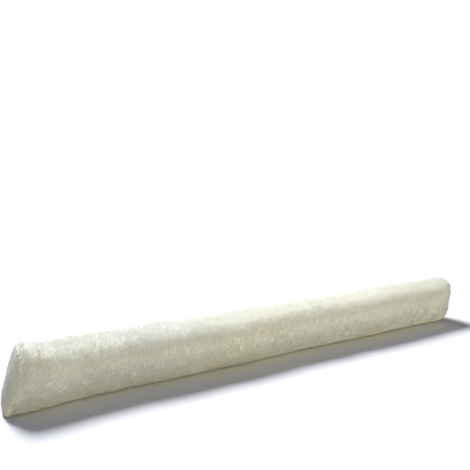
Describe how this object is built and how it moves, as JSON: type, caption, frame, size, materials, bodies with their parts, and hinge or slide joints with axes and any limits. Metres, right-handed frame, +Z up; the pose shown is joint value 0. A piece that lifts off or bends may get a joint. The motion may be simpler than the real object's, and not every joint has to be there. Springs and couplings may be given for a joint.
{
  "type": "draught excluder",
  "caption": "Long stuffed bolster in short-pile cream plush, blunt rounded ends, lying on a flattened underside along a door or window sill.",
  "frame": {"origin": "on the floor, below the middle of the bolster's bounding box", "axes": "+X along the bolster, +Z up, the front facing -Y"},
  "size_m": [0.9998, 0.108, 0.1043],
  "materials": {
    "plush": "short dense cream-white pile, matt, lambswool look",
    "end_plush": "short dense cream-white pile, matt, lambswool look"
  },
  "bodies": {
    "root": {"bolster": "plush", "end_panel_left": "end_plush", "end_panel_right": "end_plush"}
  },
  "joints": []
}
